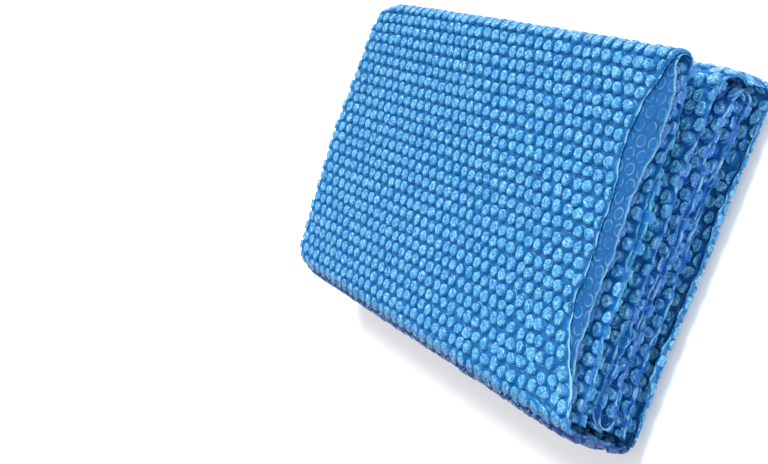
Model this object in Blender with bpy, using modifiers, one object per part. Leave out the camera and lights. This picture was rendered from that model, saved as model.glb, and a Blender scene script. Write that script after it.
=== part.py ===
"""A solar (bubble film) pool cover, folded into a bundle and lying on its back panel.

The cover is one sheet. It is folded once lengthwise, so each leaf of the bundle is two plies
that join in a tight fold at -X and end in free edges at +X. The doubled strip is then folded
across: from its inner free end the strip runs inner_leaf_3, inner_leaf_2, inner_leaf_1, over
the rear top wrap to the back_panel, round the spine to the front_panel, and over the front top
fold to the front_lining.

Each ply solid stands for the flat film, its bubbles and the slack around them. A strip is an
open surface on the ply's middle plane, given its thickness by a Solidify modifier.
Metres, +Z up, origin under the middle of the bundle on the plane it rests on.
"""

import math

import bmesh
import bpy

BUBBLE_PITCH = 0.012
BUNDLE_WIDTH = 36.6 * BUBBLE_PITCH
BUNDLE_DEPTH = 23.4 * BUBBLE_PITCH
BUNDLE_HEIGHT = 0.082
HEIGHT_GAIN = 0.184  # how much thicker the bundle is at +Y than at -Y, as a share of its height

PLY = 0.0056
PLY_GAP = 0.0011
LEAF = 2 * PLY + PLY_GAP
LEAF_GAP = 0.001
FOLD_RADIUS = LEAF + LEAF_GAP / 2
WRAP_RADIUS = 0.018
JOINT_GAP = 0.0005
INSIDE_GAP = 0.0013
CORNER_CUT = 0.024
SIDE_CUT = 0.024
FREE_END_SETBACK = 0.020
ARC_STEPS = 12

BLUE = (0.045, 0.30, 0.72)
LEAF_NAMES = (
    "back_panel",
    "inner_leaf_3",
    "inner_leaf_2",
    "inner_leaf_1",
    "front_lining",
    "front_panel",
)
FRONT_LEAVES = 2
PLY_NAMES = ("lower_ply", "upper_ply")

LEFT = -BUNDLE_WIDTH / 2
RIGHT = BUNDLE_WIDTH / 2
SPINE_SIDE = -BUNDLE_DEPTH / 2
TOP_SIDE = BUNDLE_DEPTH / 2
REAR_LEAVES = len(LEAF_NAMES) - FRONT_LEAVES
REAR_HEIGHT = REAR_LEAVES * LEAF + (REAR_LEAVES - 1) * LEAF_GAP
FRONT_BASE = BUNDLE_HEIGHT - FRONT_LEAVES * LEAF - (FRONT_LEAVES - 1) * LEAF_GAP


def clear_scene():
    for obj in list(bpy.data.objects):
        bpy.data.objects.remove(obj, do_unlink=True)


def new_collection(name):
    collection = bpy.data.collections.new(name)
    bpy.context.scene.collection.children.link(collection)
    return collection


def film_material(name, shade):
    """Glossy blue polythene; shade makes the inner leaves a little darker than the outer."""
    material = bpy.data.materials.new(name)
    material.use_nodes = True
    shader = material.node_tree.nodes["Principled BSDF"]
    shader.inputs["Base Color"].default_value = (*[channel * shade for channel in BLUE], 1.0)
    shader.inputs["Roughness"].default_value = 0.28
    shader.inputs["Metallic"].default_value = 0.0
    return material


def leaf_base(level):
    """Height of the underside of a leaf, before the bundle's slope is applied."""
    if level < REAR_LEAVES:
        return level * (LEAF + LEAF_GAP)
    return FRONT_BASE + (level - REAR_LEAVES) * (LEAF + LEAF_GAP)


def ply_middle(level, ply):
    return leaf_base(level) + PLY / 2 + ply * (PLY + PLY_GAP)


def sloped(point):
    """The bundle is thicker where more folds lie, so heights above the lowest ply grow towards +Y."""
    x, y, z = point
    return x, y, z + (z - PLY / 2) * HEIGHT_GAIN * y / BUNDLE_DEPTH


def arc(centre, radius, start, end):
    """Points of a circular arc in a plane, angles in degrees."""
    points = []
    for step in range(ARC_STEPS + 1):
        angle = math.radians(start + (end - start) * step / ARC_STEPS)
        points.append((centre[0] + radius * math.cos(angle), centre[1] + radius * math.sin(angle)))
    return points


def add_strip(collection, name, rows, shade):
    """A ply from its middle surface: rows are pairs of points, one at each end of the strip."""
    mesh = bpy.data.meshes.new(name)
    shape = bmesh.new()
    previous = None
    for start, end in rows:
        pair = (shape.verts.new(sloped(start)), shape.verts.new(sloped(end)))
        if previous:
            shape.faces.new((previous[0], previous[1], pair[1], pair[0]))
        previous = pair
    shape.to_mesh(mesh)
    shape.free()
    mesh.shade_smooth()
    mesh.set_sharp_from_angle(angle=math.radians(40))
    mesh.materials.append(film_material(name, shade))
    strip = bpy.data.objects.new(name, mesh)
    collection.objects.link(strip)
    solidify = strip.modifiers.new("film_thickness", "SOLIDIFY")
    solidify.thickness = PLY
    solidify.offset = 0.0
    solidify.use_even_offset = True
    return strip


def add_cross_strip(collection, name, profile, shade):
    """A strip that runs along X, from its profile of (y, z) points."""
    start = LEFT + CORNER_CUT
    rows = [((start, y, z), (RIGHT, y, z)) for y, z in profile]
    return add_strip(collection, name, rows, shade)


def leaf_reach(level):
    """Where the flat part of a leaf starts at the spine side and ends at the top side."""
    wrap = WRAP_RADIUS + JOINT_GAP
    inside_fold = LEAF + INSIDE_GAP + FOLD_RADIUS + JOINT_GAP
    fold = FOLD_RADIUS + JOINT_GAP
    reaches = {
        "back_panel": (wrap, wrap),
        "inner_leaf_3": (FREE_END_SETBACK, inside_fold),
        "inner_leaf_2": (inside_fold, inside_fold),
        "inner_leaf_1": (inside_fold, wrap),
        "front_lining": (FREE_END_SETBACK, fold),
        "front_panel": (wrap, fold),
    }
    spine_inset, top_inset = reaches[LEAF_NAMES[level]]
    return SPINE_SIDE + spine_inset, TOP_SIDE - top_inset


def add_leaf(collection, level):
    """The two flat plies of one leaf, and the tight lengthwise fold that joins them."""
    name = LEAF_NAMES[level]
    shade = 1.0 if name.endswith("panel") else 0.85
    near, far = leaf_reach(level)
    turn = LEFT + LEAF / 2
    for ply, ply_name in enumerate(PLY_NAMES):
        z = ply_middle(level, ply)
        rows = [((turn + JOINT_GAP, y, z), (RIGHT, y, z)) for y in (near, far)]
        add_strip(collection, f"{name}_{ply_name}", rows, shade)
    fold_radius = (PLY + PLY_GAP) / 2
    middle = leaf_base(level) + LEAF / 2
    ends = (max(near, SPINE_SIDE + SIDE_CUT), min(far, TOP_SIDE - SIDE_CUT))
    profile = arc((turn, middle), fold_radius, 90, 270)
    rows = [((x, ends[1], z), (x, ends[0], z)) for x, z in profile]
    add_strip(collection, f"{name}_side_fold", rows, shade)


def add_fold(collection, name, level, side, shade):
    """A fold that joins a leaf to the one above it, doubled as the leaves are."""
    outward = 1 if side == "top" else -1
    inset = FOLD_RADIUS if LEAF_NAMES[level] == "front_lining" else LEAF + INSIDE_GAP + FOLD_RADIUS
    centre = (outward * (BUNDLE_DEPTH / 2 - inset), leaf_base(level) + FOLD_RADIUS)
    for ply, ply_name in enumerate(("inside_ply", "outside_ply")):
        radius = FOLD_RADIUS - PLY / 2 - (1 - ply) * (PLY + PLY_GAP)
        profile = arc(centre, radius, -90, 90 if side == "top" else -270)
        add_cross_strip(collection, f"{name}_{ply_name}", profile, shade)


def add_rear_top_wrap(collection):
    """The cover goes from the back panel over the rear leaves to the innermost leaf below the front."""
    middle_y = TOP_SIDE - WRAP_RADIUS
    for ply, ply_name in enumerate(("inside_ply", "outside_ply")):
        radius = WRAP_RADIUS - PLY / 2 - (1 - ply) * (PLY + PLY_GAP)
        profile = arc((middle_y, WRAP_RADIUS), radius, -90, 0)
        profile += arc((middle_y, REAR_HEIGHT - WRAP_RADIUS), radius, 0, 90)
        add_cross_strip(collection, f"rear_top_wrap_{ply_name}", profile, 0.95)


def add_spine(collection):
    """The flat spine panel, and the bends that join it to the back panel and the front panel."""
    middle_y = SPINE_SIDE + WRAP_RADIUS
    upper_z = BUNDLE_HEIGHT - WRAP_RADIUS
    for ply, ply_name in enumerate(("inside_ply", "outside_ply")):
        radius = WRAP_RADIUS - PLY / 2 - (1 - ply) * (PLY + PLY_GAP)
        lower = arc((middle_y, WRAP_RADIUS), radius, 270, 180)
        upper = arc((middle_y, upper_z), radius, 180, 90)
        face = middle_y - radius
        flat = [(face, WRAP_RADIUS + JOINT_GAP), (face, upper_z - JOINT_GAP)]
        add_cross_strip(collection, f"spine_lower_bend_{ply_name}", lower, 0.95)
        add_cross_strip(collection, f"spine_panel_{ply_name}", flat, 0.95)
        add_cross_strip(collection, f"spine_upper_bend_{ply_name}", upper, 0.95)


def build_cover():
    clear_scene()
    cover = new_collection("folded_bubble_pool_cover")
    for level in range(len(LEAF_NAMES)):
        add_leaf(cover, level)
    add_fold(cover, "inner_top_fold", LEAF_NAMES.index("inner_leaf_3"), "top", 0.85)
    add_fold(cover, "inner_spine_fold", LEAF_NAMES.index("inner_leaf_2"), "spine", 0.85)
    add_fold(cover, "front_top_fold", LEAF_NAMES.index("front_lining"), "top", 1.0)
    add_rear_top_wrap(cover)
    add_spine(cover)


build_cover()
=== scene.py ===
"""The look of a folded bubble film pool cover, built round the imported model.

The cover is one doubled strip of film. Its middle line runs through all the leaves and folds, from
the free end of inner_leaf_3 to the free end of front_lining. At every point of that line the film
goes from the open edge of one ply, round the tight lengthwise fold at -X, and back to the open
edge of the other. So a place on the film is a pair (across, along). along is the way along the
middle line. across is the way from the lengthwise fold, positive on the ply that makes the outside
of the bundle and negative on the other. Every film and bubble is laid out in that pair and then
carried to its place in the bundle. Metres, +Z up.
"""

import math

import bpy
import numpy as np
from mathutils import Matrix, Vector


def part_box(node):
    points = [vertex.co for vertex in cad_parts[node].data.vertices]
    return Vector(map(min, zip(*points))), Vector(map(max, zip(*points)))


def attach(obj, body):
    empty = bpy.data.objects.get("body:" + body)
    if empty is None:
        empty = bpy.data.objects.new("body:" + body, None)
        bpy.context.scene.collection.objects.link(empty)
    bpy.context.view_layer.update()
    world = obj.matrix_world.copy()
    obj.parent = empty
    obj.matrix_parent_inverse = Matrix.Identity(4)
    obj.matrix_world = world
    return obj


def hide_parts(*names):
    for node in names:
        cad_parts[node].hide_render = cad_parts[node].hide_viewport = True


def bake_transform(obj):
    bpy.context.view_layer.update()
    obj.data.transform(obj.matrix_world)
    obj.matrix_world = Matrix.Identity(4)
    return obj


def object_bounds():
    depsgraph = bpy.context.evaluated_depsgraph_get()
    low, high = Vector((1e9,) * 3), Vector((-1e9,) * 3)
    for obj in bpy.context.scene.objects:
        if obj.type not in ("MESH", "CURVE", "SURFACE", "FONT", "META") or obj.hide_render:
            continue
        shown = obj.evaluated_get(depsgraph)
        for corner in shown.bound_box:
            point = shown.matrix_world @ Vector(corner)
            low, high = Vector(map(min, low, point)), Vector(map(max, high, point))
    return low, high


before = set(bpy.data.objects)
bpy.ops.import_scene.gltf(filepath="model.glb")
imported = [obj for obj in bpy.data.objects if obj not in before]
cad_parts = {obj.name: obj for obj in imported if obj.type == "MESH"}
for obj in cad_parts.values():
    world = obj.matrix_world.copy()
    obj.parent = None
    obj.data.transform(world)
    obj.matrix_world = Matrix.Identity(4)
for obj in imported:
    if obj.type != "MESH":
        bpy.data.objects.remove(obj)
cad_low, cad_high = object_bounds()

LEAVES = (
    "back_panel",
    "inner_leaf_3",
    "inner_leaf_2",
    "inner_leaf_1",
    "front_lining",
    "front_panel",
)

# The bundle's own sizes, read from the frame.
LEFT = cad_low[0]
RIGHT = cad_high[0]
SPINE_Y = cad_low[1]
TOP_Y = cad_high[1]
DEPTH = TOP_Y - SPINE_Y
spine_low, spine_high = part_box("spine_panel_outside_ply")
PLY = spine_high[1] - spine_low[1]
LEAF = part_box("spine_panel_inside_ply")[1][1] - spine_low[1]
WRAP_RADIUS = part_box("spine_lower_bend_outside_ply")[1][1] - SPINE_Y


def ply_line(node):
    """(slope, height at y = 0) of a flat ply's middle plane."""
    low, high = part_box(node)
    slope = (high[2] - low[2] - PLY) / (high[1] - low[1])
    return slope, low[2] + PLY / 2 - slope * low[1]


def leaf_height(level):
    """Height of a leaf's middle plane, before the bundle's slope."""
    return sum(ply_line(f"{LEAVES[level]}_{ply}")[1] for ply in ("lower_ply", "upper_ply")) / 2


HEIGHTS = [leaf_height(level) for level in range(len(LEAVES))]
top_slope, top_height = ply_line("front_panel_upper_ply")
HEIGHT_GAIN = top_slope * DEPTH / (top_height - PLY / 2)

# The film and its bubbles. FIRST_COLUMN is in pitches from the lengthwise fold, for each ply.
PITCH = 0.012
ROW = PITCH * math.sqrt(3) / 2
BUBBLE_RADIUS = 0.415 * PITCH
FILM_THICKNESS = 0.0004
FILM_OFFSET = 0.0006
BUBBLE_CLEARANCE = 0.0003
BUBBLE_HEIGHT = LEAF / 2 - FILM_OFFSET - BUBBLE_CLEARANCE
FIRST_COLUMN = {1: 0.25, -1: 0.75}

# The middle line: how far the folds and free ends lie from the bundle's own sides.
FOLD_SLACK = 0.0015
FREE_END = 0.015

# The tight lengthwise fold, and the way across the film from it to the open edge.
HAIRPIN_RADIUS = 0.0030
HAIRPIN_EASE = 0.016
HAIRPIN_INSET = 0.0032
HAIRPIN_START = LEFT + HAIRPIN_RADIUS + HAIRPIN_INSET
HAIRPIN_HALF = HAIRPIN_RADIUS * math.pi / 2
HAIRPIN_FLATTENING = 0.42
OPEN_EDGE = HAIRPIN_HALF + RIGHT - HAIRPIN_START
EDGE_SETBACK = 0.003

# The bundle's soft shape.
TOP_CORNER_RADIUS = 3.4 * PITCH
SPINE_CORNER_RADIUS = 2.6 * PITCH
SIDE_BULGE = 0.010
FAN = 0.006
SPINE_BULGE = 0.0012
SPINE_REACH = 0.014
TOP_SHIFT = 0.005
TOP_LEAN = 0.008
TOP_SHIFT_START = 0.7
SLACK = 0.0022
OPEN_END = 0.05

# The outer ply of the back and the spine curls over the bundle's open end.
CURL_RADIUS = 0.0085
CURL_EXTRA = 0.012
CURL_START = OPEN_EDGE - 0.003
CURL_EASE = 0.012
CURL_FLATTENING = 0.4
INSIDE_EXTRA = 0.003
OUTERMOST_EASE = 0.020

# How far the front panel's edge is pulled back, from the spine (0) to the top fold (1) and past it.
PULL_PLACES = (-0.06, 0.0, 0.06, 0.17, 0.30, 0.45, 0.60, 0.75, 0.85, 0.93, 1.0, 1.08, 1.4)
PULLS = (-0.004, -0.006, -0.003, 0.012, 0.023, 0.025, 0.027, 0.030, 0.028, 0.020, 0.013, 0.010, 0.0)
UNDER_SHARE = 0.12  # the lower ply's share of that pull, and how much more of it at the top fold
UNDER_SHARE_GAIN = 0.68

# How much flatter the bubbles are in the middle of each bend.
LOW_ON_FOLDS = {
    "inner_top_fold": 0.35,
    "inner_spine_fold": 0.35,
    "front_top_fold": 0.40,
    "rear_top_wrap": 0.22,
    "spine_lower_bend": 0.22,
    "spine_upper_bend": 0.22,
}

# How deep the film's shade is, where the spine's outside counts as 1.
SPINE_INSIDE_SHADE = 0.25
TOP_FOLD_SHADE = 0.30
UNDER_PANEL_SHADE = 0.48

rng = np.random.default_rng(7)


# ---------------------------------------------------------------- the strip's middle line


def line(start, end, step=0.001):
    """Evenly spaced points of a straight stretch in the YZ plane."""
    count = max(2, int(math.dist(start, end) / step) + 1)
    points = []
    for k in range(count):
        y = start[0] + (end[0] - start[0]) * k / (count - 1)
        z = start[1] + (end[1] - start[1]) * k / (count - 1)
        points.append((y, z))
    return points


def arc(centre, radius, start, end, steps=24):
    """Points of a circular arc in the YZ plane, angles in degrees."""
    angles = np.radians(np.linspace(start, end, steps + 1))
    return [(centre[0] + radius * math.cos(a), centre[1] + radius * math.sin(a)) for a in angles]


def route():
    """The strip's stretches in order, each as (name, its points in the YZ plane)."""
    back, leaf_3, leaf_2, leaf_1, lining, front = HEIGHTS
    fold = (front - lining) / 2
    inset = LEAF + fold + LEAF / 2 - FOLD_SLACK
    wrap = WRAP_RADIUS - LEAF / 2
    spine_line = SPINE_Y + WRAP_RADIUS
    top_line = TOP_Y - WRAP_RADIUS
    front_top = TOP_Y - fold - LEAF / 2 + FOLD_SLACK
    fold_top = TOP_Y - inset
    fold_spine = SPINE_Y + inset
    low_turn = back + wrap
    high_turn = leaf_1 - wrap
    free = SPINE_Y + FREE_END
    top_wrap = arc((top_line, high_turn), wrap, 90, 0) + arc((top_line, low_turn), wrap, 0, -90)
    return [
        ("inner_leaf_3", line((free, leaf_3), (fold_top, leaf_3))),
        ("inner_top_fold", arc((fold_top, (leaf_3 + leaf_2) / 2), fold, -90, 90)),
        ("inner_leaf_2", line((fold_top, leaf_2), (fold_spine, leaf_2))),
        ("inner_spine_fold", arc((fold_spine, (leaf_2 + leaf_1) / 2), fold, 270, 90)),
        ("inner_leaf_1", line((fold_spine, leaf_1), (top_line, leaf_1))),
        ("rear_top_wrap", top_wrap),
        ("back_panel", line((top_line, back), (spine_line, back))),
        ("spine_lower_bend", arc((spine_line, low_turn), wrap, 270, 180)),
        ("spine_panel", line((spine_line - wrap, low_turn), (spine_line - wrap, front - wrap))),
        ("spine_upper_bend", arc((spine_line, front - wrap), wrap, 180, 90)),
        ("front_panel", line((spine_line, front), (front_top, front))),
        ("front_top_fold", arc((front_top, (front + lining) / 2), fold, 90, -90)),
        ("front_lining", line((front_top, lining), (free, lining))),
    ]


def middle_line():
    """Points, outward directions and running length of the strip, and where each stretch lies."""
    points = []
    spans = {}
    for name, stretch in route():
        first = len(points) - 1 if points else 0
        points += stretch[1:] if points else stretch
        spans[name] = (first, len(points) - 1)
    points = np.array(points)
    steps = np.linalg.norm(np.diff(points, axis=0), axis=1)
    keep = np.r_[True, steps > 1e-9]
    index = np.cumsum(keep) - 1
    points = points[keep]
    length = np.r_[0, np.cumsum(np.linalg.norm(np.diff(points, axis=0), axis=1))]
    direction = np.gradient(points, length, axis=0)
    direction /= np.linalg.norm(direction, axis=1)[:, None]
    outward = np.stack([-direction[:, 1], direction[:, 0]], axis=1)
    spans = {name: (length[index[a]], length[index[b]]) for name, (a, b) in spans.items()}
    return points, outward, length, spans


MIDDLE, OUTWARD, LENGTH, SPANS = middle_line()


# ---------------------------------------------------------------- from (across, along) to the bundle


def ease(t):
    """A smooth step from 0 to 1."""
    t = np.clip(t, 0, 1)
    return t * t * (3 - 2 * t)


def waves(seed, lengths, amplitudes):
    """A smooth wandering function made of a few sines."""
    draw = np.random.default_rng(seed)
    phases = draw.uniform(0, 2 * math.pi, len(lengths))

    def value(t):
        return sum(a * np.sin(2 * math.pi * t / w + f) for w, a, f in zip(lengths, amplitudes, phases))

    return value


EDGE_WANDER = (0.0024, 0.0015, 0.0009, 0.0006, 0.0005)
edge_wander = {
    1: waves(11, (0.31, 0.13, 0.057, 0.024, 0.0125), EDGE_WANDER),
    -1: waves(12, (0.27, 0.11, 0.063, 0.026, 0.0118), EDGE_WANDER),
}
ripple_x = waves(21, (0.33, 0.19, 0.09), (0.6, 0.35, 0.2))
ripple_y = waves(22, (0.29, 0.15, 0.08), (0.6, 0.35, 0.2))
flutter = waves(23, (0.21, 0.09, 0.043), (0.0014, 0.0010, 0.0006))


def share_of(name, along):
    """0 at the start of a stretch, 1 at its end."""
    start, end = SPANS[name]
    return (along - start) / (end - start)


def fold_lowering(along):
    """The share of its height that a bubble keeps where the strip turns tightly."""
    lower = 0.0
    for name, amount in LOW_ON_FOLDS.items():
        t = share_of(name, along)
        lower = lower + amount * np.where((t > 0) & (t < 1), np.sin(math.pi * np.clip(t, 0, 1)) ** 0.5, 0)
    return 1 - lower


def outermost(along):
    """1 where the strip's outer ply is the outside of the bundle's back and spine, 0 elsewhere."""
    start, end = SPANS["rear_top_wrap"][0], SPANS["spine_upper_bend"][1]
    return ease((along - start) / OUTERMOST_EASE) * ease((end - along) / OUTERMOST_EASE)


def edge_place(side, along):
    """How far across the film its open edge lies. The front panel's own edge is pulled back."""
    edge = OPEN_EDGE - EDGE_SETBACK + edge_wander[side](along)
    t = share_of("front_panel", along)
    pull = np.interp(t, PULL_PLACES, PULLS, left=0.0, right=0.0)
    under_share = UNDER_SHARE + UNDER_SHARE_GAIN * ease((t - 0.9) / 0.1)
    edge = edge - np.where(side > 0, 1.0, under_share) * pull
    return edge + outermost(along) * np.where(side > 0, CURL_EXTRA, INSIDE_EXTRA)


def place(across, along, height):
    """Where a point of the film lies: height is how far it stands out from the film."""
    y = np.interp(along, LENGTH, MIDDLE[:, 0])
    z = np.interp(along, LENGTH, MIDDLE[:, 1])
    out_y = np.interp(along, LENGTH, OUTWARD[:, 0])
    out_z = np.interp(along, LENGTH, OUTWARD[:, 1])
    side = np.where(across >= 0, 1.0, -1.0)
    from_fold = np.abs(across)
    turn = np.clip(from_fold, 0, HAIRPIN_HALF) / HAIRPIN_RADIUS
    on_flat = np.maximum(from_fold - HAIRPIN_HALF, 0)
    opening = 1 - ease(on_flat / HAIRPIN_EASE)
    curl = outermost(along) * (across > 0)
    near_curl = curl * ease((from_fold - CURL_START + CURL_EASE) / CURL_EASE)
    lower = height * (1 - HAIRPIN_FLATTENING * opening) * fold_lowering(along)
    lower = lower * (1 - CURL_FLATTENING * near_curl)
    reach = FILM_OFFSET + (HAIRPIN_RADIUS - FILM_OFFSET) * opening
    offset = np.where(on_flat > 0, reach + lower, (HAIRPIN_RADIUS + lower) * np.sin(turn))
    x = HAIRPIN_START + np.where(on_flat > 0, on_flat, -(HAIRPIN_RADIUS + lower) * np.cos(turn))
    curled = np.maximum(from_fold - CURL_START, 0)
    bend = curled / CURL_RADIUS
    x = x + curl * ((CURL_RADIUS + lower) * np.sin(bend) - curled)
    offset = offset - curl * (CURL_RADIUS + lower) * (1 - np.cos(bend))
    y = y + out_y * offset * side
    z = z + out_z * offset * side
    return settle(x, y, z)


def settle(x, y, z):
    """The bundle's soft shape: its slope, its round corners at the fold, and its slack."""
    corners = ((TOP_CORNER_RADIUS, TOP_Y - y, 1), (SPINE_CORNER_RADIUS, y - SPINE_Y, -1))
    for radius, from_edge, sign in corners:
        near_fold = np.clip(1 - (x - LEFT) / radius, 0, 1)
        near_edge = np.clip(1 - from_edge / radius, 0, 1)
        x = x + radius * near_fold * (1 - np.sqrt(1 - near_edge**2 / 2))
        y = y - sign * radius * near_edge * (1 - np.sqrt(1 - near_fold**2 / 2))
    share = np.clip(z / cad_high[2], 0, 1)
    to_right = np.clip((x - LEFT) / (RIGHT - LEFT), 0, 1)
    to_spine = np.clip(2 * y / DEPTH, -1, 0) ** 2
    to_top = np.clip(2 * y / DEPTH, 0, 1) ** 2
    middle = 4 * share * (1 - share)
    x = x - SIDE_BULGE * (1 - to_right) ** 6 * (1 - (2 * y / DEPTH) ** 2)
    x = x + FAN * to_right * (1 - share)
    x = x + SPINE_REACH * to_spine**2 * to_right**3 * middle
    y = y - SPINE_BULGE * to_spine
    shifted = ease((to_right - TOP_SHIFT_START) / (1 - TOP_SHIFT_START))
    y = y + to_top * shifted * (TOP_SHIFT - TOP_LEAN * share)
    slack = SLACK * ripple_x(x + 0.3 * y) * ripple_y(y) * share
    open_end = ease((x - (RIGHT - OPEN_END)) / OPEN_END)
    slack = slack + open_end * flutter(y + 1.7 * z) * share * (1.2 - share) * 2
    z = z + (z - PLY / 2) * HEIGHT_GAIN * y / DEPTH + slack
    return np.stack([x, y, z], axis=-1)


def shaded(across, along):
    """How deep the film's shade is: 1 on the spine's outside, where the film is turned from the
    light, and part of it on the spine's inside, on the front top fold, and where the front panel's
    lower ply looks out from under its upper one."""
    start, end = SPANS["spine_lower_bend"][0], SPANS["spine_upper_bend"][1]
    on_spine = ease((along - start) / 0.008) * ease((end - 0.002 - along) / 0.012)
    on_spine = on_spine * np.where(across < 0, SPINE_INSIDE_SHADE, 1.0)
    start, end = SPANS["front_top_fold"]
    on_fold = TOP_FOLD_SHADE * ease((along - start) / 0.008) * ease((end - along) / 0.008)
    start, end = SPANS["front_panel"]
    on_panel = ease((along - start) / 0.004) * ease((end + 0.006 - along) / 0.010)
    under = UNDER_PANEL_SHADE * on_panel * (across < 0)
    return on_spine + on_fold + under * (1 - on_spine)


# ---------------------------------------------------------------- the film


FOLD_STEPS = np.linspace(0, HAIRPIN_HALF + 0.012, 15)
FLAT_STEPS = np.arange(FOLD_STEPS[-1] + 0.004, OPEN_EDGE - 0.060, 0.004)
EDGE_STEPS = 22
ROW_STEP = 0.0028
RIM_WIDTH = 0.0018


def make_object(name, points, faces, material, attributes):
    """A smooth mesh of faces that all have the same number of corners, with point attributes."""
    mesh = bpy.data.meshes.new(name)
    points = np.asarray(points, np.float32)
    counts = np.full(len(faces), faces.shape[1], np.int32)
    mesh.vertices.add(len(points))
    mesh.vertices.foreach_set("co", points.ravel())
    mesh.loops.add(faces.size)
    mesh.loops.foreach_set("vertex_index", faces.ravel().astype(np.int32))
    mesh.polygons.add(len(faces))
    mesh.polygons.foreach_set("loop_start", (np.cumsum(counts) - counts).astype(np.int32))
    mesh.polygons.foreach_set("loop_total", counts)
    mesh.update(calc_edges=True)
    for key, values in attributes.items():
        layer = mesh.attributes.new(key, "FLOAT", "POINT")
        layer.data.foreach_set("value", np.asarray(values, np.float32))
    mesh.shade_smooth()
    mesh.materials.append(material)
    obj = bpy.data.objects.new(name, mesh)
    bpy.context.scene.collection.objects.link(obj)
    return obj


def grid_faces(rows, columns):
    """Four-cornered faces between the points of a grid."""
    corner = (np.arange(rows - 1)[:, None] * columns + np.arange(columns - 1)[None, :]).ravel()
    return np.stack([corner, corner + columns, corner + columns + 1, corner + 1], axis=1)


def film(name, start, end, material, sides):
    """A stretch of the flat film between two places along the strip, with both plies or one."""
    rows = max(6, int((end - start) / ROW_STEP) + 1)
    along = np.linspace(start, end, rows)
    fixed = np.r_[FOLD_STEPS, FLAT_STEPS]
    halves = []
    for side in sides:
        limit = edge_place(side, along)
        t = np.linspace(0, 1, EDGE_STEPS + 1)[1:]
        edge = fixed[-1] + (limit[:, None] - fixed[-1]) * t[None, :]
        half = np.concatenate([np.repeat(fixed[None, :], rows, axis=0), edge], axis=1)
        to_edge = limit[:, None] - half
        column = half / PITCH - FIRST_COLUMN[side]
        halves.append((half * side, to_edge, column))
    if len(sides) == 2:
        joined = [np.concatenate([b[:, :0:-1], a], axis=1) for a, b in zip(*halves)]
    else:
        joined = [part[:, :: sides[0]] for part in halves[0]]
    across, to_edge, column = joined
    along = np.repeat(along[:, None], across.shape[1], axis=1)
    points = place(across, along, np.zeros_like(across))
    faces = grid_faces(*across.shape)
    attributes = {
        "rim": np.clip(1 - to_edge / RIM_WIDTH, 0, 1).ravel(),
        "column": column.ravel(),
        "row": along.ravel() / ROW,
        "shaded": shaded(across, along).ravel(),
    }
    obj = make_object(name, points.reshape(-1, 3), faces, material, attributes)
    thickness = obj.modifiers.new("film", "SOLIDIFY")
    thickness.thickness = FILM_THICKNESS
    thickness.offset = 0.0
    return obj


# ---------------------------------------------------------------- the bubbles


# One bubble: rings of points as (share of its radius, share of its height), and then its crown.
SPOKES = 14
RINGS = ((1.06, -0.06), (0.99, 0.16), (0.97, 0.48), (0.90, 0.76), (0.74, 0.93), (0.50, 0.97), (0.24, 0.90))

# What varies from bubble to bubble, each as a share of its radius or height.
RADIUS_RANGE = (-0.08, 0.06)
STRETCH_RANGE = (-0.09, 0.09)
LOBES = ((2, 0.05), (3, 0.05), (5, 0.035))
LEAN = 0.22
TALL_RANGE = (0.80, 1.0)
DENT_RANGE = (0.0, 0.55)
CREASE_RANGE = (0.0, 0.34)
CHIP = 0.10
CROWN_RANGE = (0.90, 1.0)

# Handling shows from this share of the way to the open edge, and over this share of the front
# panel from the spine up. Past that it falls to its least.
HANDLED_FROM = 0.35
HANDLED_LENGTH = 0.75
LEAST_HANDLING = 0.35

# The least that a bubble is crumpled and out of its place, and what handling adds to that.
LEAST_CRUMPLE = 0.65
CRUMPLE_GAIN = 0.75
LEAST_STRAY = 0.0003
STRAY_GAIN = 0.0015


def bubble_faces():
    """Faces of one bubble: bands between rings, and a fan at its crown."""
    count = len(RINGS)
    k = np.arange(SPOKES)
    after = (k + 1) % SPOKES
    bands = []
    for ring in range(count - 1):
        low = ring * SPOKES
        high = (ring + 1) * SPOKES
        bands.append(np.stack([low + k, low + after, high + after], axis=1))
        bands.append(np.stack([low + k, high + after, high + k], axis=1))
    last = (count - 1) * SPOKES
    bands.append(np.stack([last + k, last + after, np.full(SPOKES, count * SPOKES)], axis=1))
    return np.concatenate(bands)


BUBBLE_FACES = bubble_faces()


def handling(across, along):
    """How crumpled the film is: most by the open edges, near the spine."""
    near_spine = 1 - ease(share_of("front_panel", along) / HANDLED_LENGTH)
    near_edge = ease((across / OPEN_EDGE - HANDLED_FROM) / (1 - HANDLED_FROM))
    return near_edge * (LEAST_HANDLING + (1 - LEAST_HANDLING) * near_spine)


def lattice(start, end, side, keep):
    """Bubble centres between two places along the strip, on one ply."""
    rows = np.arange(math.ceil(start / ROW), math.ceil(end / ROW))
    columns = np.arange(0, int(OPEN_EDGE / PITCH) + 2)
    row, column = np.meshgrid(rows, columns, indexing="ij")
    across = (column + 0.5 * (row % 2) + FIRST_COLUMN[side]) * PITCH
    along = row * ROW
    limit = edge_place(side, along)
    inside = across < limit + 0.30 * BUBBLE_RADIUS
    if keep:
        inside &= keep(across, limit)
    return across[inside], along[inside]


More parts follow.
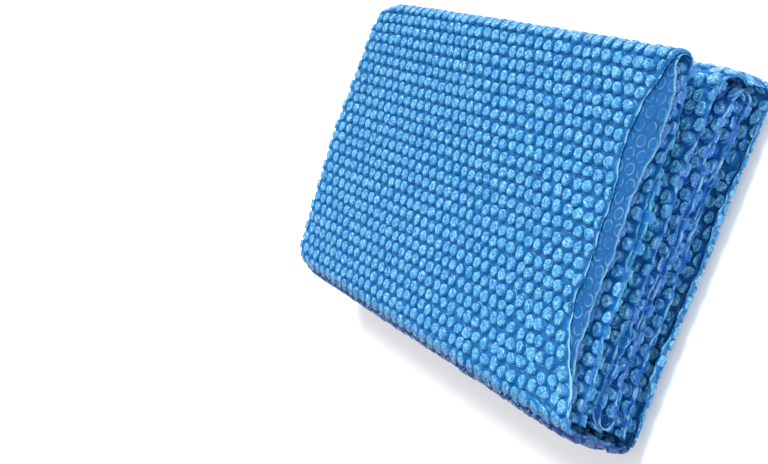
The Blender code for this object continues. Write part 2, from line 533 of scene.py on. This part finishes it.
def bubble_shapes(crumple):
    """Each bubble's ring points as (across, along, height) from its centre, and its crown's height.

    Every bubble is dented, creased and leaning in its own way, more where crumple is large."""
    count = len(crumple)
    angle = np.linspace(0, 2 * math.pi, SPOKES, endpoint=False)[None, None, :]
    ring_radius = np.array([r for r, _ in RINGS])[None, :, None]
    ring_height = np.array([h for _, h in RINGS])[None, :, None]

    def draw(low, high):
        return rng.uniform(low, high, (count, 1, 1))

    radius = BUBBLE_RADIUS * (1 + draw(*RADIUS_RANGE) * crumple)
    stretch = 1 + draw(*STRETCH_RANGE) * crumple
    turn = draw(0, math.pi)
    wobble = 1.0
    for lobes, amount in LOBES:
        wobble = wobble + amount * crumple * np.sin(lobes * angle + draw(0, 2 * math.pi))
    reach = radius * ring_radius * wobble
    lean = ring_height**2 * BUBBLE_RADIUS * LEAN
    step_across = reach * np.cos(angle) * stretch + lean * draw(-1, 1)
    step_along = reach * np.sin(angle) / stretch + lean * draw(-1, 1)
    tall = BUBBLE_HEIGHT * draw(*TALL_RANGE)
    raised = ring_height**3
    dent = raised * (1 - ring_radius) * draw(*DENT_RANGE) * crumple
    fold = np.abs(np.sin(angle - turn)) ** 1.5
    crease = raised * ring_radius * (1 - fold) * draw(*CREASE_RANGE) * crumple
    chip = raised * rng.uniform(0, CHIP, (count, len(RINGS), SPOKES)) * crumple
    height = tall * (ring_height - dent - crease - chip)
    crown_height = height[:, -1, :].mean(axis=1) * draw(*CROWN_RANGE)[:, 0, 0]
    return step_across, step_along, height, crown_height


def with_crown(rings, crown):
    """One row for each bubble: its ring points, and its crown point last."""
    return np.concatenate([rings.reshape(len(rings), -1), crown[:, None]], axis=1)


def bubbles(name, start, end, side, material, keep):
    """The bubbles of a stretch of one ply. keep says which of them are made, None for all."""
    across, along = lattice(start, end, side, keep)
    count = len(across)
    handled = handling(across, along)
    across = across + rng.uniform(-1, 1, count) * (LEAST_STRAY + STRAY_GAIN * handled)
    along = along + rng.uniform(-1, 1, count) * (LEAST_STRAY + STRAY_GAIN * handled)
    crumple = (LEAST_CRUMPLE + CRUMPLE_GAIN * handled)[:, None, None]
    step_across, step_along, height, crown_height = bubble_shapes(crumple)
    ring_across = across[:, None, None] + step_across
    ring_along = along[:, None, None] + step_along
    point_across = with_crown(ring_across, ring_across[:, -1].mean(axis=1))
    point_along = with_crown(ring_along, ring_along[:, -1].mean(axis=1))
    point_height = with_crown(height, crown_height)
    point_across = side * np.minimum(point_across, edge_place(side, point_along))
    point_along = np.clip(point_along, LENGTH[0], LENGTH[-1])
    points = place(point_across.ravel(), point_along.ravel(), point_height.ravel())
    per_bubble = point_across.shape[1]
    faces = BUBBLE_FACES if side > 0 else BUBBLE_FACES[:, ::-1]
    faces = (faces[None] + (np.arange(count) * per_bubble)[:, None, None]).reshape(-1, 3)
    rise = np.r_[np.repeat([h for _, h in RINGS], SPOKES), 1.0]
    spread = np.r_[np.repeat([r for r, _ in RINGS], SPOKES), 0.0]
    attributes = {
        "rise": np.tile(rise, count),
        "spread": np.tile(spread, count),
        "tone": np.repeat(rng.uniform(0, 1, count), per_bubble),
        "shaded": shaded(point_across, point_along).ravel(),
    }
    return make_object(name, points, faces, material, attributes)


# ---------------------------------------------------------------- materials


CLEAR = (0.32, 0.74, 0.98)
DEEP = (0.012, 0.148, 0.41)
MID = (0.014, 0.22, 0.53)
# Painted light: the pale colour of the bubbles' crowns.
CROWN_LIGHT = (0.085, 0.42, 0.69)
# The next three colours are painted glints: on the bubbles, on rings round them on the flat film, and
# along the film's cut edges.
GLINT = (0.42, 0.84, 0.95)
PALE_GLINT = (0.16, 0.60, 0.86)
RIM_GLINT = (0.34, 0.76, 0.93)
SHADED = (0.003, 0.030, 0.17)
# The next three are a bluer, mostly paler copy of the film's colours for the inner leaves: painted light
# standing in for the light that gets into the bundle's open end.
INNER_DEEP = (0.012, 0.110, 0.44)
INNER_MID = (0.022, 0.23, 0.60)
INNER_LIGHT = (0.130, 0.52, 0.84)
SHADE_SHARE = 0.85
FILM_OPACITY = 0.72
BUBBLE_OPACITY = 0.74
FILM_BUMP = (240.0, 0.5)
BUBBLE_BUMP = (330.0, 0.55)
FILM_GLOSS = {
    "Roughness": 0.20,
    "Specular IOR Level": 0.30,
    "Coat Weight": 0.15,
    "Coat Roughness": 0.08,
}
BUBBLE_GLOSS = {
    "Roughness": 0.15,
    "Specular IOR Level": 0.35,
    "Coat Weight": 0.25,
    "Coat Roughness": 0.05,
}

# Ramps, as (place, shade). The first two go by the distance from a bubble's middle, in radii.
# The next three paint light and shade on the flat film: lighter discs with dark edges where bubbles stand
# behind it, pale glint rings round them, and the spots where those rings show.
BEHIND_BUBBLE_SHADING = ((0.0, 0.9), (0.62, 0.55), (0.80, 1.0), (0.97, 0.0))
BUBBLE_OUTLINE_GLINT = ((0.66, 0.0), (0.84, 1.0), (0.98, 0.0))
MOTTLING = ((0.35, 0.0), (0.65, 1.0))
GLINT_PATCHES = ((0.42, 0.0), (0.66, 0.75))
# The next two paint a pale glint along the film's cut edge: broken in places, and brighter and steadier on
# the front panel.
BROKEN_RIM_GLINT = ((0.46, 0.0), (0.62, 0.8))
BRIGHT_RIM_GLINT = ((0.30, 0.5), (0.55, 1.0))
# Painted shade and light on a bubble: darker at its foot, paler on its crown in uneven spots.
BUBBLE_BASE_SHADE = ((0.0, 0.0), (0.55, 0.35), (0.95, 1.0))
BUBBLE_CROWN_LIGHT = ((0.0, 0.55), (0.55, 0.9), (0.80, 0.75), (0.97, 0.0))
CROWN_LIGHT_PATCHES = ((0.36, 0.05), (0.62, 1.0))
# Painted glints: a thin pale line along a noise, standing in for light caught on crinkles.
CREASE_GLINT_LINE = ((0.455, 0.0), (0.50, 1.0), (0.545, 0.0))


def new_material(name):
    material = bpy.data.materials.new(name)
    material.use_nodes = True
    nodes = material.node_tree.nodes
    return material, nodes, material.node_tree.links, nodes["Principled BSDF"]


def attribute(nodes, name):
    """The value of one of the mesh's own attributes."""
    node = nodes.new("ShaderNodeAttribute")
    node.attribute_name = name
    return node.outputs["Fac"]


def mix_colour(nodes, links, factor, first, second):
    """A blend of two colours, each a tuple or a socket; factor is a socket."""
    mix = nodes.new("ShaderNodeMix")
    mix.data_type = "RGBA"
    for name, value in (("Factor", factor), ("A", first), ("B", second)):
        socket = [s for s in mix.inputs if s.name == name and s.enabled][0]
        if isinstance(value, tuple):
            socket.default_value = (*value, 1.0)
        else:
            links.new(value, socket)
    return [s for s in mix.outputs if s.enabled][0]


def arithmetic(nodes, links, operation, *values):
    """The result of a Math node, whose values are numbers or sockets."""
    node = nodes.new("ShaderNodeMath")
    node.operation = operation
    for socket, value in zip(node.inputs, values):
        if isinstance(value, float):
            socket.default_value = value
        else:
            links.new(value, socket)
    return node.outputs["Value"]


def ramp(nodes, links, value, stops):
    """A grey ramp, with stops of (place, shade)."""
    node = nodes.new("ShaderNodeValToRGB")
    elements = node.color_ramp.elements
    while len(elements) < len(stops):
        elements.new(0.5)
    for element, (position, shade) in zip(elements, stops):
        element.position = position
        element.color = (shade, shade, shade, 1)
    links.new(value, node.inputs["Fac"])
    return node.outputs["Color"]


def noise(nodes, links, scale, detail, distortion=0.0):
    """Noise laid out in the object's own coordinates."""
    coordinates = nodes.new("ShaderNodeTexCoord")
    texture = nodes.new("ShaderNodeTexNoise")
    texture.inputs["Scale"].default_value = scale
    texture.inputs["Detail"].default_value = detail
    texture.inputs["Distortion"].default_value = distortion
    links.new(coordinates.outputs["Object"], texture.inputs["Vector"])
    return texture.outputs["Fac"]


def under_bubbles(nodes, links):
    """Distance to the nearest bubble's middle, in bubble radii, on the flat film."""

    def offset(value, pitch):
        nearest = arithmetic(nodes, links, "ROUND", value)
        from_nearest = arithmetic(nodes, links, "SUBTRACT", value, nearest)
        return arithmetic(nodes, links, "MULTIPLY", from_nearest, pitch)

    row = attribute(nodes, "row")
    parity = arithmetic(nodes, links, "FLOORED_MODULO", arithmetic(nodes, links, "ROUND", row), 2.0)
    shift = arithmetic(nodes, links, "MULTIPLY", parity, 0.5)
    column = arithmetic(nodes, links, "SUBTRACT", attribute(nodes, "column"), shift)
    sides = (offset(row, ROW), offset(column, PITCH))
    squares = [arithmetic(nodes, links, "MULTIPLY", side, side) for side in sides]
    distance = arithmetic(nodes, links, "SQRT", arithmetic(nodes, links, "ADD", *squares))
    return arithmetic(nodes, links, "DIVIDE", distance, BUBBLE_RADIUS)


def finish_film(material, nodes, links, shader, colour, gloss, bump_look, opacity):
    """Gloss, crinkles, the deeper shade and the light that passes through thin film."""
    depth = arithmetic(nodes, links, "MULTIPLY", attribute(nodes, "shaded"), SHADE_SHARE)
    links.new(mix_colour(nodes, links, depth, colour, SHADED), shader.inputs["Base Color"])
    for name, value in gloss.items():
        shader.inputs[name].default_value = value
    scale, strength = bump_look
    bump = nodes.new("ShaderNodeBump")
    bump.inputs["Strength"].default_value = strength
    bump.inputs["Distance"].default_value = 0.001
    links.new(noise(nodes, links, scale, 2.0, 0.8), bump.inputs["Height"])
    links.new(bump.outputs["Normal"], shader.inputs["Normal"])
    clear = nodes.new("ShaderNodeBsdfTransparent")
    clear.inputs["Color"].default_value = (*CLEAR, 1)
    blend = nodes.new("ShaderNodeMixShader")
    blend.inputs["Fac"].default_value = opacity
    links.new(clear.outputs["BSDF"], blend.inputs[1])
    links.new(shader.outputs["BSDF"], blend.inputs[2])
    output = [n for n in nodes if n.type == "OUTPUT_MATERIAL"][0]
    links.new(blend.outputs["Shader"], output.inputs["Surface"])
    return material


def film_material(name, deep, mid, light, rim_glint_stops):
    """Flat film, with the bubbles behind it showing through as rings painted as lighter discs with dark
    edges (painted light and shade), pale painted glint rings round them, and a pale broken painted glint
    along its edge.
    """
    material, nodes, links, shader = new_material(name)
    from_middle = under_bubbles(nodes, links)
    shade = ramp(nodes, links, noise(nodes, links, 150.0, 3.0, 0.6), MOTTLING)
    # Painted light and shade where the bubbles stand behind the film: lighter discs with dark edges.
    behind = arithmetic(nodes, links, "MULTIPLY", ramp(nodes, links, from_middle, BEHIND_BUBBLE_SHADING), 0.55)
    share = arithmetic(nodes, links, "MULTIPLY_ADD", shade, 0.35, behind)
    mottled = mix_colour(nodes, links, share, deep, mid)
    # Painted glints: pale rings round the bubbles, shown only in spots.
    patches = ramp(nodes, links, noise(nodes, links, 130.0, 1.0, 0.8), GLINT_PATCHES)
    outline = ramp(nodes, links, from_middle, BUBBLE_OUTLINE_GLINT)
    outline = arithmetic(nodes, links, "MULTIPLY", outline, patches)
    outline_glinted = mix_colour(nodes, links, outline, mottled, light)
    # Painted glint along the cut edge, broken in places.
    broken = ramp(nodes, links, noise(nodes, links, 110.0, 2.0), rim_glint_stops)
    rim = arithmetic(nodes, links, "MULTIPLY", attribute(nodes, "rim"), broken)
    rim_glinted = mix_colour(nodes, links, rim, outline_glinted, light)
    return finish_film(material, nodes, links, shader, rim_glinted, FILM_GLOSS, FILM_BUMP, FILM_OPACITY)


def bubble_material(name, deep, mid, light, glint):
    """Bubble film: darkest where it meets the flat film, a painted shade, and palest on the crown, a
    painted light, finely creased by a bump, with thin pale painted glints along noise lines.
    """
    material, nodes, links, shader = new_material(name)
    # Painted shade: the bubble is darkest at its foot, where it meets the flat film.
    rise = ramp(nodes, links, attribute(nodes, "rise"), BUBBLE_BASE_SHADE)
    body = mix_colour(nodes, links, rise, deep, mid)
    # Painted light: the crown is paler, in uneven spots and by a random amount for each bubble.
    crown = ramp(nodes, links, attribute(nodes, "spread"), BUBBLE_CROWN_LIGHT)
    uneven = ramp(nodes, links, noise(nodes, links, 210.0, 1.2, 1.0), CROWN_LIGHT_PATCHES)
    strength = arithmetic(nodes, links, "MULTIPLY", crown, uneven)
    toned = arithmetic(nodes, links, "MULTIPLY_ADD", attribute(nodes, "tone"), 0.30, 0.70)
    strength = arithmetic(nodes, links, "MULTIPLY", strength, toned)
    crown_lit = mix_colour(nodes, links, strength, body, light)
    # Painted glints: thin pale lines along a noise, stronger higher up the bubble.
    crease_glints = ramp(nodes, links, noise(nodes, links, 200.0, 1.5, 1.2), CREASE_GLINT_LINE)
    crease_glints = arithmetic(nodes, links, "MULTIPLY", crease_glints, rise)
    crease_glints = arithmetic(nodes, links, "MULTIPLY", crease_glints, 0.75)
    glinting = mix_colour(nodes, links, crease_glints, crown_lit, glint)
    return finish_film(material, nodes, links, shader, glinting, BUBBLE_GLOSS, BUBBLE_BUMP, BUBBLE_OPACITY)


outer_film = film_material("outer_film", DEEP, MID, PALE_GLINT, BROKEN_RIM_GLINT)
# The front panel's film has a brighter, steadier painted glint along its cut edge.
front_film = film_material("front_film", DEEP, MID, RIM_GLINT, BRIGHT_RIM_GLINT)
outer_bubble = bubble_material("outer_bubble", DEEP, MID, CROWN_LIGHT, GLINT)
# The inner leaves get the paler copy of the colours: painted light for the inside of the bundle.
inner_film = film_material("inner_film", INNER_DEEP, INNER_MID, RIM_GLINT, BROKEN_RIM_GLINT)
inner_bubble = bubble_material("inner_bubble", INNER_DEEP, INNER_MID, INNER_LIGHT, GLINT)


# ---------------------------------------------------------------- the cover


# Each stretch's body, or the two that its bend joins, and then its bubbles on the ply that makes the
# outside of the bundle and on the other: True for all of them, False for those that can be seen past
# an open edge or at the lengthwise fold, None where none can be seen.
STRETCHES = {
    "inner_leaf_3": ("back_stack", False, False),
    "inner_top_fold": ("back_stack", None, False),
    "inner_leaf_2": ("back_stack", False, False),
    "inner_spine_fold": ("back_stack", False, None),
    "inner_leaf_1": ("back_stack", True, False),
    "rear_top_wrap": ("back_stack", True, False),
    "back_panel": ("back_stack", True, False),
    "spine_lower_bend": (("back_stack", "spine"), True, True),
    "spine_panel": ("spine", True, True),
    "spine_upper_bend": (("spine", "front_packet"), True, True),
    "front_panel": ("front_packet", True, False),
    "front_top_fold": ("front_packet", True, None),
    "front_lining": ("front_packet", True, False),
}
SEEN_FROM_OPEN_END = 0.060
SEEN_FROM_FOLD = 0.014


def in_sight(across, limit):
    """True for bubbles that can be seen past an open edge or at the lengthwise fold."""
    return (limit - across < SEEN_FROM_OPEN_END) | (across < SEEN_FROM_FOLD)


def bend_ends(name, side):
    """Where the film of a bend starts and ends, for the ply that faces out or in."""
    ends = []
    for along in SPANS[name]:
        point = place(np.array([side * 0.2]), np.array([along]), np.array([0.0]))[0]
        ends.append((0.0, float(point[1]), float(point[2])))
    return ends


def hold(piece, name, side):
    """Ties a piece to its stretch's body. A bend's piece is tied to neither of the two bodies that it
    joins; its ends are found but not used, and its place is baked into its mesh.
    """
    body = STRETCHES[name][0]
    if isinstance(body, tuple):
        start, end = bend_ends(name, side)
        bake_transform(piece)
    else:
        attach(piece, body)


def build_films(name, slot):
    """The films of a stretch, each as (piece, its sides). A bend's two plies are films of their own."""
    body = STRETCHES[name][0]
    start, end = SPANS[name]
    look = inner_film if slot == "inner_film" else front_film if name == "front_panel" else outer_film
    if isinstance(body, tuple):
        parts = ((f"{name}_outside_film", (1,)), (f"{name}_inside_film", (-1,)))
    else:
        parts = ((f"{name}_film", (1, -1)),)
    return [(film(label, start, end, look, sides), sides) for label, sides in parts]


def build_bubbles(name, slot):
    """The bubbles of a stretch, each as (piece, side)."""
    _, outside, inside = STRETCHES[name]
    start, end = SPANS[name]
    pieces = []
    for side, label, whole in ((1, "outside", outside), (-1, "inside", inside)):
        if whole is None:
            continue
        within = slot == "inner_film" or side < 0
        look = inner_bubble if within and not whole else outer_bubble
        keep = None if whole else in_sight
        pieces.append((bubbles(f"{name}_{label}_bubbles", start, end, side, look, keep), side))
    return pieces


def build_stretch(name):
    slot = "inner_film" if name.startswith("inner") else "outer_film"
    films = build_films(name, slot)
    bpy.context.view_layer.update()
    tops = build_bubbles(name, slot)
    for piece, side in tops:
        hold(piece, name, side)
    nodes = [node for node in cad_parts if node.startswith(name + "_")]
    for piece, sides in films:
        hold(piece, name, sides[0])
        if len(sides) == 1:
            ply = "outside" if sides[0] > 0 else "inside"
            nodes_here = [node for node in nodes if ply in node]
        else:
            nodes_here = nodes
        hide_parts(*nodes_here)


for stretch_name in STRETCHES:
    build_stretch(stretch_name)


# ---------------------------------------------------------------- floor, light and camera


FLOOR_SIZE = 12
FLOOR_HEIGHT = -0.0004
FLOOR_COLOUR = (0.93, 0.93, 0.93, 1)
WORLD_STRENGTH = 0.62
KEY_LIGHT = {"aim_from": (-0.25, 0.65, 0.75), "spread": 35, "strength": 4.2}
FILL_LIGHT = {"aim_from": (0.85, -0.05, 0.50), "spread": 25, "strength": 2.1}
CAMERA_PLACE = Vector((0.8027, 0.0017, 0.6099))
CAMERA_AIM = Vector((-0.8520, -0.0675, -0.5192))
CAMERA_UP = Vector((-0.2417, 0.9304, 0.2756))
CAMERA_LENS = 54.1
SENSOR_WIDTH = 36


def add_floor():
    bpy.ops.mesh.primitive_plane_add(size=FLOOR_SIZE, location=(0, 0, FLOOR_HEIGHT))
    floor = bpy.context.object
    floor.name = "floor"
    material, _, _, shader = new_material("pale_floor")
    shader.inputs["Base Color"].default_value = FLOOR_COLOUR
    shader.inputs["Roughness"].default_value = 0.9
    shader.inputs["Specular IOR Level"].default_value = 0.1
    floor.data.materials.append(material)


def add_world():
    world = bpy.data.worlds.new("soft_white")
    bpy.context.scene.world = world
    world.use_nodes = True
    background = world.node_tree.nodes["Background"]
    background.inputs["Color"].default_value = (1, 1, 1, 1)
    background.inputs["Strength"].default_value = WORLD_STRENGTH


def add_sun(name, aim_from, spread, strength):
    """A soft sun that shines from aim_from towards the origin; spread is its width in degrees."""
    data = bpy.data.lights.new(name, "SUN")
    data.angle = math.radians(spread)
    data.energy = strength
    light = bpy.data.objects.new(name, data)
    bpy.context.scene.collection.objects.link(light)
    light.rotation_euler = Vector(aim_from).to_track_quat("Z", "Y").to_euler()


def add_camera():
    """The camera, at the place fitted to the photo's outline of the bundle."""
    data = bpy.data.cameras.new("camera")
    data.lens = CAMERA_LENS
    data.sensor_width = SENSOR_WIDTH
    camera = bpy.data.objects.new("camera", data)
    bpy.context.scene.collection.objects.link(camera)
    back = -CAMERA_AIM.normalized()
    right = CAMERA_UP.cross(back).normalized()
    up = back.cross(right)
    turn = Matrix((right, up, back)).transposed().to_4x4()
    camera.matrix_world = Matrix.Translation(CAMERA_PLACE) @ turn
    bpy.context.scene.camera = camera


add_floor()
add_world()
add_sun("key", **KEY_LIGHT)
add_sun("fill", **FILL_LIGHT)
add_camera()
bpy.context.scene.view_settings.view_transform = "Standard"
